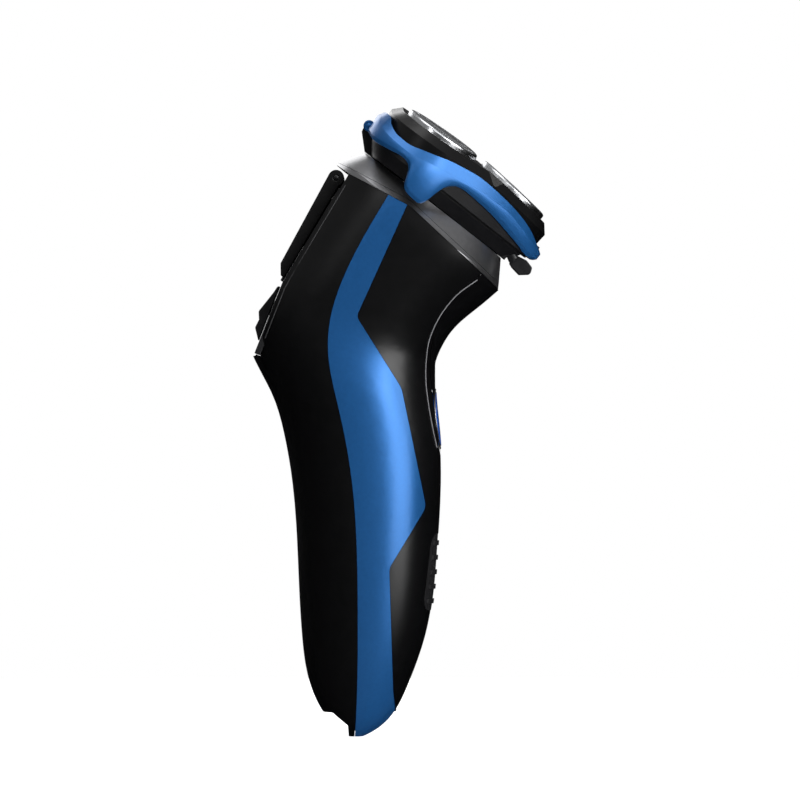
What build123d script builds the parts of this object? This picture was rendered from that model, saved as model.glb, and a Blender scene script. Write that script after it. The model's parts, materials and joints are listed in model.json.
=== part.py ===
"""Rotary electric shaver: handle, tilting three-unit shaving head and pop-out trimmer.

Millimetres, +Z up, +X towards the side with the power button, symmetric about the XZ plane.
"""
from build123d import *
from math import atan2, copysign, cos, hypot, pi, radians, sin, tan
import os

os.makedirs("parts", exist_ok=True)

# ---------------------------------------------------------------- driving dimensions
WALL = 2.0                    # handle shell thickness
SEAM = 0.12                   # gap left at every parting line
RUN = 0.05                    # radial clearance of a pin or shaft that turns in its bore
CLEAR = 0.35                  # gap between pieces that move past each other
FAR = 60.0                    # reach of cutting shapes beyond the part

# Ovals across the handle: back x, back z, front x, front z, half width, squareness
HANDLE = [
    (-13.2, 0.0, -9.3, 0.0, 4.5, 2.1),
    (-17.9, 4.0, -3.1, 4.0, 11.2, 2.1),
    (-20.7, 8.0, -0.1, 8.0, 14.3, 2.15),
    (-23.2, 14.0, 2.7, 14.0, 16.7, 2.2),
    (-25.2, 26.0, 6.9, 26.0, 19.2, 2.2),
    (-26.3, 46.0, 9.9, 46.0, 21.4, 2.25),
    (-27.7, 66.0, 11.1, 66.0, 22.4, 2.3),
    (-30.0, 79.5, 10.7, 79.0, 22.7, 2.3),
    (-33.3, 90.0, 9.8, 88.0, 22.9, 2.3),
    (-38.3, 100.0, 9.6, 94.5, 23.0, 2.3),
    (-40.2, 107.5, 9.8, 98.0, 23.2, 2.3),
    (-38.9, 115.0, 10.9, 101.0, 23.5, 2.35),
    (-34.7, 123.0, 13.2, 105.0, 24.2, 2.4),
    (-28.6, 133.2, 17.4, 109.4, 25.0, 2.4),
    (-22.7, 142.9, 22.5, 113.5, 25.7, 2.4),
    (-18.3, 150.1, 26.2, 116.7, 26.1, 2.4),
    (-14.0, 157.0, 30.6, 122.2, 26.4, 2.4),
]
OVAL_POINTS = 28

# Side view of the handle: trimmer facet, top edge and parting lines
RAIL = [(-12.9, 146.7), (-29.9, 118.3), (-37.3, 99.6)]
ROOF = [(-FAR, 172.0), (3.1, 138.1), (FAR, 85.2)]
ROOF_ROUND = 6.0
BAND_FRONT = [(3.5, 141.3), (-10.9, 109.6), (0.8, 91.0), (7.2, 60.0), (-2.4, 44.2), (-1.4, 12.0), (0.6, -6.0)]
BAND_FRONT_ROUND = [0, 2.2, 7.0, 4.0, 4.0, 6.0, 0]
BAND_BACK = [(1.0, 147.2), (-7.5, 133.0), (-14.0, 120.4), (-17.9, 107.8), (-18.2, 99.4), (-15.8, 86.8),
             (-12.9, 72.5), (-11.2, 57.0), (-10.6, 35.5), (-10.7, 15.0), (-11.4, 0.0), (-12.0, -6.0)]
PANEL_EDGE = [(26.5, 125.2), (20.0, 119.3), (12.7, 112.8), (9.0, 103.6), (8.3, 97.1), (9.0, 89.2),
              (10.1, 80.0), (10.9, 74.8), (12.6, 68.0)]
DOCK_STEP = [(-17.2, 6.4), (-13.2, 3.0), (-12.6, -6.0), (-FAR, -6.0), (-FAR, 7.5)]

# Shaving head: its plane leans forward, u runs downhill to the front, n points outwards
HEAD_TILT = 37.7
HEAD_ORIGIN = (18.2, 0.0, 153.0)
UNIT_CIRCLE = 15.5            # radius on which the three shaving units sit
UNIT_TILT = 5.3               # outward lean of each unit
UNIT_ANGLES = [0, 120, 240]
CORNER_SOFT = 6.0             # degrees by which the corner arcs fall short of 60
FRAME_R = 16.0                # outer corner radius of the head frame
FRAME_INNER_R = 14.8
PAN_R = 14.2
BASE_R = 13.4
PLATE_R = 14.7
FRAME_TOP = [(-26.0, -5.2), (-22.3, -5.5), (-20.6, -7.1), (-17.3, -8.35), (-14.0, -8.5), (-8.8, -7.4),
             (0.9, -4.9), (8.5, -3.9), (16.7, -4.4), (22.1, -5.3), (26.4, -6.6), (29.7, -8.2), (33.0, -9.8)]
FRAME_FOOT = [(33.0, -11.0), (30.2, -12.5), (24.5, -11.35), (13.7, -9.5), (5.4, -9.1), (1.5, -11.5),
              (0.2, -17.2), (-1.8, -19.2), (-5.4, -18.9), (-7.4, -17.6), (-9.0, -13.6), (-12.6, -12.1),
              (-21.4, -13.3), (-26.0, -11.2)]
FRAME_FOOT_ROUND = [0, 0.8, 0, 6.0, 4.0, 2.5, 2.0, 1.4, 1.6, 1.4, 2.2, 3.0, 1.2, 0]
HINGE_EYE = (-24.4, -10.7)
EYE_R = 1.5
HEAD_PIN_R = 0.6
KNUCKLE_HALF = 5.0            # half width of the head base knuckle
EYE_REACH = 9.0               # half width over both frame knuckles

# Shaving units, each in its own frame with z = 0 at the top of the guard
GUARD_R = 10.6
GUARD_WALL = 0.8
GUARD_TOP = 0.6
GUARD_DEPTH = 4.2
FLANGE_R = 11.2
FLANGE_THICK = 0.8
PAN_TOP = -1.55
PAN_SKIN = 1.2
PAN_FOOT = -7.3
PAN_CHAMFER = 2.2
PAN_GAP = 0.65                # half of the gap between neighbouring pans
SLOTS = 48
SLOT_WIDTH = 0.4
CUTTER_R = 9.4
CUTTER_BLADES = 15
HUB_R = 3.6
SOCKET_R = 2.6
TRUNNION_R = 0.7
TRUNNION_Z = -6.2

# Drive
SPINDLE_CIRCLE = 14.7
SPINDLE_R = 1.1
SPINDLE_TIP = -5.4
MODULE = 0.6
PINION_TEETH = 25
GEAR_TEETH = 24
GEAR_LOW, GEAR_HIGH = -25.2, -22.8
PLATE_LOW, PLATE_HIGH = -27.4, -25.9
MOTOR_R = 11.0
MOTOR_LOW, MOTOR_HIGH = -57.0, -27.6
SHAFT_R = 1.0

# Neck
NECK_TOP = -16.9
NECK_LOW = -23.9
NECK_OVALS = [(-24.9, 28.7, -24.4, 26.2), (-24.9, 27.5, -22.4, 25.7), (-21.3, 23.9, NECK_TOP, 21.6)]
NECK_WALL = 1.6
TRIM_RING = 1.5

# Trimmer, along the facet (s downwards, h outwards)
TRIMMER_HALF = 14.0
TRIMMER_HINGE = (2.5, 2.4)
TRIMMER_BARREL = 2.1
TRIMMER_PIN_R = 0.8
TRIMMER_KNUCKLE_HALF = 6.0
TRIMMER_TEETH = 22
BED = 0.4                     # height of the trimmer frame above the facet
SLIDE_TRAVEL = 3.0

# Inside the handle
BATTERY_R = 7.0
BATTERY_LOW, BATTERY_HIGH = 21.0, 70.0
BATTERY_X = -9.0
BOARD_X = 2.4
BOARD_THICK = 1.2
BUTTON_Z = 83.0
BUTTON_HALF = (6.0, 7.0)      # half width and half height of the power button
LENS_Z = 97.5
GRIP_Z = (33.0, 53.0)
GRIP_HALF = 11.0

SIDE = Plane.XZ
HEAD_SIDE = Plane(origin=HEAD_ORIGIN, x_dir=(cos(radians(HEAD_TILT)), 0, -sin(radians(HEAD_TILT))),
                  z_dir=(0, -1, 0))
HEAD = Plane(origin=HEAD_ORIGIN, x_dir=HEAD_SIDE.x_dir,
             z_dir=(sin(radians(HEAD_TILT)), 0, cos(radians(HEAD_TILT)))).location


# ---------------------------------------------------------------- helpers
def save(name, shape):
    """Write one node as its own STEP file."""
    export_step(shape, f"parts/{name}.step")


def box(x, y, z):
    """Box between (low, high) pairs."""
    size = (x[1] - x[0], y[1] - y[0], z[1] - z[0])
    return Pos((x[0] + x[1]) / 2, (y[0] + y[1]) / 2, (z[0] + z[1]) / 2) * Box(*size)


def rod(radius, low, high):
    """Upright cylinder between two heights."""
    return Pos(0, 0, (low + high) / 2) * Cylinder(radius, high - low)


def cross_rod(radius, low, high):
    """Cylinder along Y between two places, axis through the origin."""
    return Pos(0, (low + high) / 2, 0) * Rot(90, 0, 0) * Cylinder(radius, high - low)


def slab(outline, low, high):
    """Outline in the XY plane thickened from one height to another."""
    return Pos(0, 0, low) * extrude(outline, amount=high - low)


def prism(outline, half_width, plane=SIDE):
    """Side-view outline thickened evenly to both sides."""
    return extrude(plane * outline, amount=half_width, both=True)


def rounded(points, radii):
    """Closed outline with its own rounding at every corner; zero keeps a corner sharp."""
    face = make_face(Polyline(*points, close=True))
    for point, radius in zip(points, radii):
        if radius:
            corner = min(face.vertices(), key=lambda v: (Vector(v) - Vector(*point)).length)
            face = fillet(corner, radius)
    return face


def spline_region(points, *far):
    """Region between a smooth line and the far corners that close it."""
    curve = Spline(*points)
    return make_face([*curve.edges(), *Polyline(points[-1], *far, points[0]).edges()])


def oval(half_length, half_width, squareness):
    """Rounded oval between an ellipse and a rectangle."""
    points = []
    for step in range(OVAL_POINTS):
        angle = 2 * pi * step / OVAL_POINTS
        points.append((copysign(abs(cos(angle)) ** (2 / squareness), cos(angle)) * half_length,
                       copysign(abs(sin(angle)) ** (2 / squareness), sin(angle)) * half_width))
    return make_face(Spline(*points, periodic=True))


def handle_body(inset, first=0):
    """Handle volume with its surface moved inwards by the inset."""
    ovals = []
    for bx, bz, fx, fz, half_width, squareness in HANDLE[first:]:
        length = hypot(fx - bx, fz - bz)
        along = ((fx - bx) / length, 0, (fz - bz) / length)
        plane = Plane(origin=((bx + fx) / 2, 0, (bz + fz) / 2), x_dir=along, z_dir=(-along[2], 0, along[0]))
        ovals.append(plane * oval(length / 2 - inset, half_width - inset, squareness))
    return loft(ovals)


def polar(radius, angle):
    """Point on a circle about the head axis."""
    return Vector(radius * cos(radians(angle)), radius * sin(radians(angle)))


def rounded_triangle(radius):
    """Head outline: a corner arc about every unit, joined by long, almost flat arcs."""
    reach = 60 - CORNER_SOFT
    back = UNIT_CIRCLE * tan(radians(reach)) / (sin(pi / 3) - tan(radians(reach)) / 2)
    side_radius = hypot(UNIT_CIRCLE + back / 2, back * sin(pi / 3)) + radius
    edges = []
    for angle in UNIT_ANGLES:
        centre = polar(UNIT_CIRCLE, angle)
        start, middle, end = [centre + polar(radius, angle + turn) for turn in (-reach, 0, reach)]
        following = polar(UNIT_CIRCLE, angle + 120) + polar(radius, angle + 120 - reach)
        edges.append(ThreePointArc(start, middle, end))
        edges.append(ThreePointArc(end, polar(side_radius - back, angle + 60), following))
    return make_face(edges)


def unit_place(angle):
    """Frame of a shaving unit inside the head frame."""
    return Rot(0, 0, angle) * Pos(UNIT_CIRCLE, 0, 0) * Rot(0, UNIT_TILT, 0)


def gear_outline(teeth):
    """Involute spur gear with a tooth centred on +X and slim teeth for backlash."""
    pitch = MODULE * teeth / 2
    base = pitch * cos(radians(20))
    tip, root = pitch + 0.85 * MODULE, pitch - 1.15 * MODULE
    half = 0.42 * pi / teeth + tan(radians(20)) - radians(20)
    points = []
    for tooth in range(teeth):
        middle = 2 * pi * tooth / teeth
        flank = []
        for step in range(4):
            radius = max(base, root) + (tip - max(base, root)) * step / 3
            roll = (max(radius / base, 1.0) ** 2 - 1) ** 0.5
            flank.append((radius, half - (roll - atan2(roll, 1))))
        flank.insert(0, (root, flank[0][1]))
        for radius, turn in flank:
            points.append((radius * cos(middle - turn), radius * sin(middle - turn)))
        for radius, turn in reversed(flank):
            points.append((radius * cos(middle + turn), radius * sin(middle + turn)))
    return make_face(Polyline(*points, close=True))


def on_rail(s, h):
    """Side-view point at s along the trimmer facet and h above it."""
    start, bend, end = RAIL
    first = hypot(bend[0] - start[0], bend[1] - start[1])
    origin, target, along = (start, bend, s) if s <= first else (bend, end, s - first)
    length = hypot(target[0] - origin[0], target[1] - origin[1])
    ex, ez = (target[0] - origin[0]) / length, (target[1] - origin[1]) / length
    return origin[0] + ex * along + ez * h, origin[1] + ez * along - ex * h


# ---------------------------------------------------------------- handle shells
RAIL_BEND = hypot(RAIL[1][0] - RAIL[0][0], RAIL[1][1] - RAIL[0][1])
RAIL_END = RAIL_BEND + hypot(RAIL[2][0] - RAIL[1][0], RAIL[2][1] - RAIL[1][1])
rail_region = make_face(Polyline(on_rail(-20, 0), RAIL[0], RAIL[1], RAIL[2], (-FAR, RAIL[2][1] - 6),
                                 (-FAR, 190), close=True))
roof_region = rounded([*ROOF, (FAR, 230), (-FAR, 230)], [0, ROOF_ROUND, 0, 0, 0])
ahead_of_band = rounded([*BAND_FRONT, (FAR, -6), (FAR, 141.3)], [*BAND_FRONT_ROUND, 0, 0])
behind_band = spline_region(BAND_BACK, (-FAR, -6), (-FAR, 160))
panel_region = spline_region(PANEL_EDGE, (FAR, 68), (FAR, 125.2))
dock_region = make_face(Polyline(*DOCK_STEP, close=True))


def trimmed(volume, rail_shift):
    """Handle volume cut by the trimmer facet."""
    return volume - Pos(rail_shift, 0, 0) * prism(rail_region, FAR)


cavity = trimmed(handle_body(WALL, first=1), 1.25 * WALL)
body = trimmed(handle_body(0.0), 0.0) - prism(roof_region, FAR)
shell = body - cavity
ahead = prism(ahead_of_band, FAR)
behind = prism(behind_band, FAR)
panel_side = prism(panel_region, FAR)

middle_band = shell - ahead - behind
rear_housing = (body & Pos(-SEAM, 0, 0) * behind) - prism(dock_region, FAR) - cavity
front_shell = shell & (Pos(SEAM, 0, 0) * ahead)
front_panel = front_shell & panel_side
front_housing = front_shell - Pos(-SEAM, 0, 0) * panel_side

# ---------------------------------------------------------------- power button and indicator
button_face = Plane.YZ * Pos(0, BUTTON_Z) * Ellipse(*BUTTON_HALF)
button_hole = extrude(Plane.YZ * Pos(0, BUTTON_Z) * Ellipse(BUTTON_HALF[0] + CLEAR, BUTTON_HALF[1] + CLEAR),
                      amount=FAR)
button_plug = extrude(button_face, amount=FAR)
power_button = (handle_body(-0.3, first=3) - handle_body(1.5, first=3)) & button_plug
power_button += box((6.7, 9.4), (-1.2, 1.2), (BUTTON_Z - 1.2, BUTTON_Z + 1.2))
lens_outline = Plane.YZ * Pos(0, LENS_Z) * SlotOverall(7.0, 1.8)
lens_plug = extrude(lens_outline, amount=FAR)
indicator_lens = (handle_body(0.05, first=3) - handle_body(1.4, first=3)) & lens_plug
lens_hole = extrude(Plane.YZ * Pos(0, LENS_Z) * SlotOverall(7.1, 1.9), amount=FAR)
front_panel = front_panel - button_hole - lens_hole
front_housing = front_housing - button_hole - lens_hole

# ---------------------------------------------------------------- ribbed front grip
grip_middle = (GRIP_Z[0] + GRIP_Z[1]) / 2
grip_height = GRIP_Z[1] - GRIP_Z[0]
grip_outline = Plane.YZ * Pos(0, grip_middle) * RectangleRounded(2 * GRIP_HALF, grip_height, 4.0)
recess_outline = Plane.YZ * Pos(0, grip_middle) * RectangleRounded(2 * GRIP_HALF + 0.1, grip_height + 0.1, 4.0)
grip_recess = extrude(recess_outline, amount=FAR) - handle_body(1.05, first=2)
grip_plug = extrude(grip_outline, amount=FAR)
front_grip = (handle_body(0.0, first=2) - handle_body(1.0, first=2)) & grip_plug
rib_skin = (handle_body(-0.4, first=2) - handle_body(0.5, first=2)) & grip_plug
for rib in range(5):
    rib_z = GRIP_Z[0] + 2.4 + 3.8 * rib
    front_grip += rib_skin & box((0, FAR), (-GRIP_HALF + 2, GRIP_HALF - 2), (rib_z - 0.6, rib_z + 0.6))
front_housing = front_housing - grip_recess

# ---------------------------------------------------------------- charging inlet
dock_length = hypot(DOCK_STEP[1][0] - DOCK_STEP[0][0], DOCK_STEP[1][1] - DOCK_STEP[0][1])
dock_x = (DOCK_STEP[0][0] + DOCK_STEP[1][0]) / 2
dock_z = (DOCK_STEP[0][1] + DOCK_STEP[1][1]) / 2
inward = ((DOCK_STEP[0][1] - DOCK_STEP[1][1]) / dock_length, 0,
          (DOCK_STEP[1][0] - DOCK_STEP[0][0]) / dock_length)
INLET = Plane(origin=(dock_x, 0, dock_z), x_dir=(0, 1, 0), z_dir=inward).location
sleeve = slab(RectangleRounded(10.0, 4.4, 1.6), 0.15, 8.0)
charging_socket = INLET * (sleeve - slab(RectangleRounded(8.2, 3.0, 1.2), 0.0, 6.6))
contact_pin = rod(0.6, 1.6, 6.6) + rod(0.8, 6.6, 7.4)
charging_pins = INLET * (Pos(2.2, 0, 0) * contact_pin + Pos(-2.2, 0, 0) * contact_pin)
charging_socket = charging_socket - charging_pins
rear_housing = rear_housing - INLET * slab(RectangleRounded(10.1, 4.5, 1.6), -4.0, 9.0)
middle_band = middle_band - INLET * slab(RectangleRounded(10.4, 4.8, 1.6), -4.0, 9.0)

# ---------------------------------------------------------------- trimmer
hinge_x, hinge_z = on_rail(*TRIMMER_HINGE)
HINGE = Pos(hinge_x, 0, hinge_z)
frame_outline = make_face(Polyline(on_rail(4.4, -1.2), on_rail(4.4, BED), on_rail(RAIL_BEND, BED),
                                   on_rail(RAIL_END - 0.4, BED), on_rail(RAIL_END - 0.4, -1.2),
                                   on_rail(RAIL_BEND, -1.2), close=True))
frame_pocket = make_face(Polyline(on_rail(4.3, -1.3), on_rail(4.3, 3.0), on_rail(RAIL_BEND, 3.0),
                                  on_rail(RAIL_END - 0.3, 3.0), on_rail(RAIL_END - 0.3, -1.3),
                                  on_rail(RAIL_BEND, -1.3), close=True))
lug_outline = make_face(Polyline(on_rail(1.2, 1.5), on_rail(4.4, -1.2), on_rail(7.0, -1.2), on_rail(7.0, BED),
                                 on_rail(4.3, 2.4), close=True))
lug_pocket = make_face(Polyline(on_rail(-0.6, 0.0), on_rail(-0.6, -0.1), on_rail(4.4, -1.7), on_rail(7.2, -1.7),
                                on_rail(7.2, 6.0), on_rail(-0.6, 6.0), close=True))
slot_low, slot_high = RAIL_BEND + 4.6, RAIL_BEND + 9.4 + SLIDE_TRAVEL
stem_slot = make_face(Polyline(on_rail(slot_low, -6.0), on_rail(slot_low, 3.0), on_rail(slot_high, 3.0),
                               on_rail(slot_high, -6.0), close=True))
trimmer_frame = prism(frame_outline, 15.0)
trimmer_frame += prism(lug_outline, TRIMMER_KNUCKLE_HALF)
trimmer_frame += HINGE * cross_rod(1.8, -TRIMMER_KNUCKLE_HALF, TRIMMER_KNUCKLE_HALF)
trimmer_frame -= HINGE * cross_rod(TRIMMER_PIN_R + RUN, -FAR, FAR)
trimmer_frame -= prism(stem_slot, 2.4)
rear_housing = rear_housing - prism(frame_pocket, 15.1) - prism(lug_pocket, 15.1) - prism(stem_slot, 2.6)
rear_housing = rear_housing - HINGE * cross_rod(TRIMMER_BARREL + CLEAR, -15.1, 15.1)

# The arm is a hollow cover that carries the comb and the moving blade at its free end
arm_end = 31.7
arm_outline = make_face(Polyline(on_rail(2.5, 4.5), on_rail(29.0, 3.4), on_rail(arm_end, 1.75),
                                 on_rail(arm_end, 0.8), on_rail(2.5, 0.8), close=True))
arm_hollow = make_face(Polyline(on_rail(7.6, 3.1), on_rail(24.0, 2.4), on_rail(29.0, 2.2), on_rail(33.0, 1.27),
                                on_rail(33.0, 0.2), on_rail(7.6, 0.2), close=True))
trimmer_cover = prism(arm_outline, TRIMMER_HALF)
trimmer_cover += HINGE * cross_rod(TRIMMER_BARREL, -TRIMMER_HALF, TRIMMER_HALF)
trimmer_cover -= prism(arm_hollow, TRIMMER_HALF - 1.2)
knuckle_gap = TRIMMER_KNUCKLE_HALF + CLEAR
knuckle_zone = make_face(Polyline(on_rail(-1.5, -2.0), on_rail(-1.5, 6.0), on_rail(5.4, 6.0), on_rail(7.8, -2.0),
                                  close=True))
trimmer_cover -= prism(knuckle_zone, knuckle_gap)
trimmer_cover -= HINGE * cross_rod(TRIMMER_PIN_R, -FAR, FAR)
trimmer_pin = HINGE * cross_rod(TRIMMER_PIN_R, -TRIMMER_HALF + 0.6, TRIMMER_HALF - 0.6)


def blade(s_root, s_tip, h_low, h_high, half_width, teeth):
    """Toothed blade lying along the trimmer arm."""
    outline = make_face(Polyline(on_rail(s_root, h_low), on_rail(s_root, h_high), on_rail(s_tip, h_high),
                                 on_rail(s_tip, h_low), close=True))
    plate = prism(outline, half_width)
    notch = make_face(Polyline(on_rail(s_tip - 2.0, h_low - 1), on_rail(s_tip - 2.0, h_high + 1),
                               on_rail(s_tip + 1, h_high + 1), on_rail(s_tip + 1, h_low - 1), close=True))
    pitch = 2 * half_width / teeth
    places = [-half_width + pitch * (gap + 1) for gap in range(teeth - 1)]
    gaps = [Pos(0, place, 0) * prism(notch, pitch * 0.24) for place in places]
    return plate - gaps


trimmer_comb = blade(22.0, arm_end + 1.1, 0.8, 1.2, TRIMMER_HALF - 1.3, TRIMMER_TEETH)
trimmer_blade = blade(23.0, arm_end - 2.7, 1.4, 1.75, TRIMMER_HALF - 2.6, TRIMMER_TEETH - 4)

slide_outline = [(1.0, 0.75), (1.3, 1.3), (3.2, 1.7), (9.1, 3.5), (11.1, 2.6), (13.4, 2.8), (16.3, 0.75)]
trimmer_slide = prism(make_face(Polyline(*[on_rail(RAIL_BEND + s, h) for s, h in slide_outline], close=True)), 8.0)
for groove in range(3):
    gx, gz = on_rail(RAIL_BEND + 4.2 + 1.6 * groove, 2.55 + 0.49 * groove)
    trimmer_slide -= Pos(gx, 0, gz) * cross_rod(0.5, -6.5, 6.5)
stem_outline = make_face(Polyline(on_rail(RAIL_BEND + 5.0, -3.4), on_rail(RAIL_BEND + 5.0, 1.0),
                                  on_rail(RAIL_BEND + 9.0, 1.0), on_rail(RAIL_BEND + 9.0, -3.4), close=True))
trimmer_slide += prism(stem_outline, 2.0)

# ---------------------------------------------------------------- neck
neck_roof = prism(roof_region, FAR)


def neck_volume(inset):
    """Tapered neck between the handle and the head base."""
    ovals = []
    for back, front, height, half_width in NECK_OVALS:
        place = HEAD * Pos((back + front) / 2, 0, height)
        ovals.append(place * oval((front - back) / 2 - inset, half_width - inset, 2.4))
    return loft(ovals, ruled=True) & HEAD * box((-FAR, FAR), (-FAR, FAR), (NECK_LOW, NECK_TOP))


neck = neck_volume(0.0) & Pos(0, 0, 0.15) * neck_roof
neck_room = neck_volume(NECK_WALL)
neck_room = neck_room & HEAD * box((-FAR, FAR), (-FAR, FAR), (NECK_LOW - 1, NECK_TOP - NECK_WALL))
ring_top = Pos(0, 0, 0.15 + TRIM_RING) * neck_roof
neck_trim_ring = neck - ring_top - neck_room
back_opening = HEAD * box((-FAR, -18.5), (-FAR, FAR), (NECK_LOW - 1, -23.2))
neck_cover = (neck & Pos(0, 0, 0.1) * ring_top) - neck_room - back_opening
spindle_places = [Rot(0, 0, angle) * Pos(SPINDLE_CIRCLE, 0, 0) for angle in UNIT_ANGLES]
seals = []
for place in spindle_places:
    neck_cover -= HEAD * place * rod(3.0, NECK_TOP - 3, NECK_TOP + 1)
    seals.append(HEAD * place * (rod(2.95, NECK_TOP - NECK_WALL, NECK_TOP) - rod(SPINDLE_R + CLEAR, -30, 0)))
spindle_seals = Compound(children=seals)

# ---------------------------------------------------------------- drive train
gear_plate = slab(rounded_triangle(6.6), PLATE_LOW, PLATE_HIGH)
gear_plate -= rod(SHAFT_R + CLEAR, -30, -20)
screw_places = [Rot(0, 0, angle + 60) * Pos(8.6, 0, 0) for angle in UNIT_ANGLES]
plate_screws = []
for place in spindle_places:
    gear_plate -= place * rod(SPINDLE_R + RUN, -30, -20)
for place in screw_places:
    gear_plate -= place * rod(0.8, -30, -20)
    screw = rod(0.8, PLATE_LOW - 1.9, PLATE_HIGH) + rod(1.5, PLATE_HIGH, PLATE_HIGH + 0.5)
    plate_screws.append(HEAD * place * screw)
gear_plate = HEAD * gear_plate
plate_screws = Compound(children=plate_screws)
motor_can = rod(MOTOR_R, MOTOR_LOW + 3, MOTOR_HIGH) - rod(SHAFT_R + CLEAR, MOTOR_LOW, MOTOR_HIGH + 1)
for place in screw_places:
    motor_can -= place * rod(0.8, PLATE_LOW - 1.9, MOTOR_HIGH + 1)
motor_can = HEAD * motor_can
motor_end_cap = HEAD * (rod(MOTOR_R - 0.6, MOTOR_LOW, MOTOR_LOW + 2.95) - rod(SHAFT_R + RUN, MOTOR_LOW + 1, 0))
motor_shaft = HEAD * rod(SHAFT_R, MOTOR_LOW + 1.1, GEAR_HIGH + 0.6)
motor_pinion = HEAD * (slab(gear_outline(PINION_TEETH), GEAR_LOW, GEAR_HIGH) - rod(SHAFT_R, -30, 0))
pinion_pitch, gear_pitch = 360 / PINION_TEETH, 360 / GEAR_TEETH
gear = slab(gear_outline(GEAR_TEETH), GEAR_LOW, GEAR_HIGH) - rod(SPINDLE_R, -30, 0)
spindle = rod(SPINDLE_R, PLATE_LOW + 0.2, SPINDLE_TIP - 2.4)
spindle += slab(RegularPolygon(SPINDLE_R, 6), SPINDLE_TIP - 2.4, SPINDLE_TIP)
for number, (angle, place) in enumerate(zip(UNIT_ANGLES, spindle_places), 1):
    mesh_turn = 180 + (angle % pinion_pitch) * PINION_TEETH / GEAR_TEETH + gear_pitch / 2
    save(f"drive_gear_{number}", HEAD * place * Rot(0, 0, mesh_turn) * gear)
    save(f"drive_spindle_{number}", HEAD * place * spindle)

# ---------------------------------------------------------------- head base with hinge bracket and release tab
eye = Pos(HINGE_EYE[0], 0, HINGE_EYE[1])
base_low, base_knee, base_high = -16.6, -13.2, -11.5
head_base = slab(rounded_triangle(BASE_R), base_knee, base_high)
head_base += Pos(0, 0, base_knee) * extrude(rounded_triangle(BASE_R), amount=base_low - base_knee, taper=38)
room = slab(rounded_triangle(BASE_R - 1.3), base_knee, base_high + 1)
room += Pos(0, 0, base_knee) * extrude(rounded_triangle(BASE_R - 1.3), amount=-2.0, taper=38)
head_base -= room
bracket_outline = Polyline((-25.5, -11.0), (-25.1, -13.0), (-21.4, -16.6), (-18.0, -16.6), (-18.0, -14.9),
                           (-21.0, -13.4), (-22.6, -11.6), (-23.4, -10.9), close=True)
bracket = extrude(Plane.XZ * make_face(bracket_outline), amount=KNUCKLE_HALF, both=True)
bracket += eye * cross_rod(EYE_R - 0.1, -KNUCKLE_HALF, KNUCKLE_HALF)
head_base = head_base + bracket - eye * cross_rod(HEAD_PIN_R + RUN, -FAR, FAR)
for place in spindle_places:
    head_base += place * rod(2.9, base_low, -13.4)
    head_base -= place * rod(SPINDLE_R + 0.5, -20, -10)
tab_points = [(26.4, -16.6), (26.4, -13.9), (29.6, -13.3), (31.9, -13.9), (32.6, -15.6), (30.3, -17.5), (27.6, -17.1)]
tab_outline = rounded(tab_points, [0, 0, 0.4, 0.7, 0.9, 0.5, 0])
release_tab = HEAD * extrude(Plane.XZ * tab_outline, amount=6.0, both=True)
tab_pocket = box((24.9, 36), (-6.0 - CLEAR, 6.0 + CLEAR), (-18.5, -12.95))
tab_backing = box((23.3, 24.85), (-7.2, 7.2), (base_low, -12.4)) & slab(rounded_triangle(BASE_R), base_low, -12.4)
head_base = head_base - tab_pocket + tab_backing
head_base = HEAD * head_base

# ---------------------------------------------------------------- head frame and retaining plate
frame_wall = slab(rounded_triangle(FRAME_R), -22, -2) - slab(rounded_triangle(FRAME_INNER_R), -23, -1)
above_top = spline_region(FRAME_TOP, (33.0, 20.0), (-26.0, 20.0))
below_foot = rounded([*FRAME_FOOT, (-26.0, -40.0), (33.0, -40.0)], [*FRAME_FOOT_ROUND, 0, 0])
head_frame = frame_wall - extrude(Plane.XZ * above_top, amount=FAR, both=True)
head_frame -= extrude(Plane.XZ * below_foot, amount=FAR, both=True)
knuckle = eye * cross_rod(EYE_R, -EYE_REACH, EYE_REACH)
head_frame = head_frame + knuckle - box((-28, -20), (-KNUCKLE_HALF - CLEAR, KNUCKLE_HALF + CLEAR), (-14, -8.6))
head_frame -= eye * cross_rod(HEAD_PIN_R, -FAR, FAR)
head_frame = HEAD * head_frame
head_pin = HEAD * eye * cross_rod(HEAD_PIN_R, -EYE_REACH + 0.3, EYE_REACH - 0.3)

plate_low, plate_high = -11.2, -10.2
retaining_plate = slab(rounded_triangle(PLATE_R), plate_low, plate_high)
retaining_plate -= box((-30, -21.9), (-EYE_REACH - 1, EYE_REACH + 1), (-13, -9))
wedge = make_face(Polyline((0, 0), polar(FAR, 60), polar(FAR, -60), close=True))
for angle in UNIT_ANGLES:
    here = unit_place(angle)
    retaining_plate -= Rot(0, 0, angle) * Pos(SPINDLE_CIRCLE, 0, 0) * rod(5.2, -15, -5)
    for side in (-1, 1):
        post = box((-1.4, 1.4), (side * 12.3 - 0.4, side * 12.3 + 0.4), (plate_high - 0.4, TRUNNION_Z + 1.4))
        retaining_plate += here * (post - Pos(0, 0, TRUNNION_Z) * cross_rod(TRUNNION_R + RUN, -20, 20))
retaining_plate = HEAD * retaining_plate

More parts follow.
